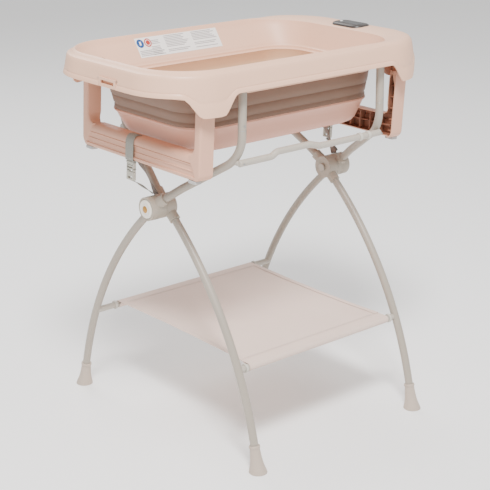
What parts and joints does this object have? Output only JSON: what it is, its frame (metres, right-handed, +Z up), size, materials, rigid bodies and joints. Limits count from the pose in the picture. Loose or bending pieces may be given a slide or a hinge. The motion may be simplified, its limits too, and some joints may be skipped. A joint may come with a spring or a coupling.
{
  "type": "folding baby bath on stand",
  "caption": "Folding baby bath with a collapsible basin and fold-out end legs, on a scissor stand of bent tube with a fabric shelf and strap buckles.",
  "frame": {"origin": "on the floor, under the middle of the bath and midway between the feet", "axes": "+X along the bath towards the head end, +Y towards the back, +Z up"},
  "size_m": [0.834, 0.7182, 0.942],
  "materials": {
    "stand_tube": "satin powder coat, warm grey",
    "rail": "satin powder coat, light grey",
    "hub_shell": "moulded, fine matt texture",
    "button_cream": "moulded, smooth satin",
    "emblem_gold": "polished",
    "steel_pin": "plated",
    "foot_plastic": "moulded, matt",
    "collar_plastic": "moulded, matt",
    "shelf_cloth": "plain woven polyester",
    "rim_plastic": "moulded polypropylene, satin",
    "bellows_rubber": "moulded soft elastomer, matt",
    "basin_plastic": "moulded polypropylene, satin",
    "drain_seal": "moulded elastomer",
    "drain_plug": "moulded elastomer",
    "leg_plastic": "moulded polypropylene, satin",
    "pad_rubber": "moulded elastomer",
    "webbing": "woven polyester tape",
    "buckle_plastic": "moulded acetal",
    "display_case": "moulded, gloss",
    "display_lens": "clear window over a dark panel",
    "display_key": "moulded"
  },
  "bodies": {
    "frame_a": {"back_leg_left": "stand_tube", "back_leg_right": "stand_tube", "front_arm_left": "stand_tube", "front_arm_right": "stand_tube", "hub_outer_left": "hub_shell", "hub_outer_right": "hub_shell", "hub_pin_left": "steel_pin", "hub_pin_right": "steel_pin", "hub_spring_left": "steel_pin", "hub_spring_right": "steel_pin", "back_foot_left": "foot_plastic", "back_foot_right": "foot_plastic", "front_rail": "rail", "rail_collars": "collar_plastic", "shelf_tube_back": "stand_tube", "shelf_stops_back": "collar_plastic", "shelf_fabric": "shelf_cloth"},
    "frame_b": {"front_leg_left": "stand_tube", "front_leg_right": "stand_tube", "back_arm_left": "stand_tube", "back_arm_right": "stand_tube", "hub_inner_left": "hub_shell", "hub_inner_right": "hub_shell", "front_foot_left": "foot_plastic", "front_foot_right": "foot_plastic", "back_rail": "rail", "shelf_tube_front": "stand_tube", "shelf_stops_front": "collar_plastic"},
    "button_left": {"hub_button_left": "button_cream", "hub_emblem_left": "emblem_gold"},
    "button_right": {"hub_button_right": "button_cream", "hub_emblem_right": "emblem_gold"},
    "bath": {"tub_rim": "rim_plastic", "bellows": "bellows_rubber", "hook_pin": "steel_pin", "end_leg_pins_foot": "steel_pin", "end_leg_pins_head": "steel_pin", "thermometer_case": "display_case", "thermometer_lens": "display_lens"},
    "basin": {"basin": "basin_plastic", "drain_seat": "drain_seal"},
    "plug": {"drain_plug": "drain_plug"},
    "leg_foot": {"end_leg_foot": "leg_plastic", "end_leg_pads_foot": "pad_rubber", "strap_loop_foot": "webbing", "buckle_socket_foot": "buckle_plastic"},
    "leg_head": {"end_leg_head": "leg_plastic", "end_leg_pads_head": "pad_rubber", "strap_loop_head": "webbing", "buckle_socket_head": "buckle_plastic"},
    "strap_foot": {"strap_front_foot": "webbing", "strap_back_foot": "webbing", "buckle_clip_foot": "buckle_plastic"},
    "strap_head": {"strap_front_head": "webbing", "strap_back_head": "webbing", "buckle_clip_head": "buckle_plastic"},
    "hook": {"hang_hook": "rim_plastic"},
    "key": {"thermometer_key": "display_key"}
  },
  "joints": [
    {"name": "stand_fold", "type": "hinge", "parent": "frame_a", "child": "frame_b", "pos_m": [0.02, 0, 0.573], "axis": [1, 0, 0], "range_deg": [0, 57], "deforming": ["shelf_fabric"]},
    {"name": "bath_lift", "type": "slide", "parent": "frame_a", "child": "bath", "axis": [0, -0.1483, 0.9889], "range_m": [0, 0.8]},
    {"name": "basin_collapse", "type": "slide", "parent": "bath", "child": "basin", "axis": [0, 0, 1], "range_m": [0, 0.136], "deforming": ["bellows"]},
    {"name": "drain_plug_pull", "type": "slide", "parent": "basin", "child": "plug", "axis": [0, 0, 1], "range_m": [0, 0.06]},
    {"name": "end_leg_foot_fold", "type": "hinge", "parent": "bath", "child": "leg_foot", "pos_m": [-0.296, 0, 0.858], "axis": [0, -1, 0], "range_deg": [0, 84]},
    {"name": "end_leg_head_fold", "type": "hinge", "parent": "bath", "child": "leg_head", "pos_m": [0.316, 0, 0.858], "axis": [0, 1, 0], "range_deg": [0, 66]},
    {"name": "strap_foot_drop", "type": "hinge", "parent": "frame_a", "child": "strap_foot", "pos_m": [-0.279, 0, 0.604], "axis": [0, -1, 0], "range_deg": [0, 45]},
    {"name": "strap_head_drop", "type": "hinge", "parent": "frame_a", "child": "strap_head", "pos_m": [0.319, 0, 0.604], "axis": [0, 1, 0], "range_deg": [0, 45]},
    {"name": "hub_button_left_press", "type": "slide", "parent": "frame_a", "child": "button_left", "axis": [1, 0, 0], "range_m": [0, 0.004], "stiffness_N_per_m": 900, "deforming": ["hub_spring_left"]},
    {"name": "hub_button_right_press", "type": "slide", "parent": "frame_a", "child": "button_right", "axis": [-1, 0, 0], "range_m": [0, 0.004], "stiffness_N_per_m": 900, "deforming": ["hub_spring_right"]},
    {"name": "hang_hook_swing", "type": "hinge", "parent": "bath", "child": "hook", "pos_m": [-0.414, -0.024, 0.901], "axis": [0, 1, 0], "range_deg": [0, 90]},
    {"name": "thermometer_key_press", "type": "slide", "parent": "bath", "child": "key", "axis": [0, 0, -1], "range_m": [0, 0.001], "stiffness_N_per_m": 400}
  ],
  "couplings": [
    {"joint": "bath_lift", "follows": "stand_fold", "m_per_rad": 0.8},
    {"joint": "basin_collapse", "follows": "stand_fold", "m_per_rad": 0.13657},
    {"joint": "end_leg_foot_fold", "follows": "stand_fold", "ratio": 1.4722},
    {"joint": "end_leg_head_fold", "follows": "stand_fold", "ratio": 1.1567},
    {"joint": "strap_foot_drop", "follows": "stand_fold", "ratio": 0.78868},
    {"joint": "strap_head_drop", "follows": "stand_fold", "ratio": 0.78868}
  ]
}
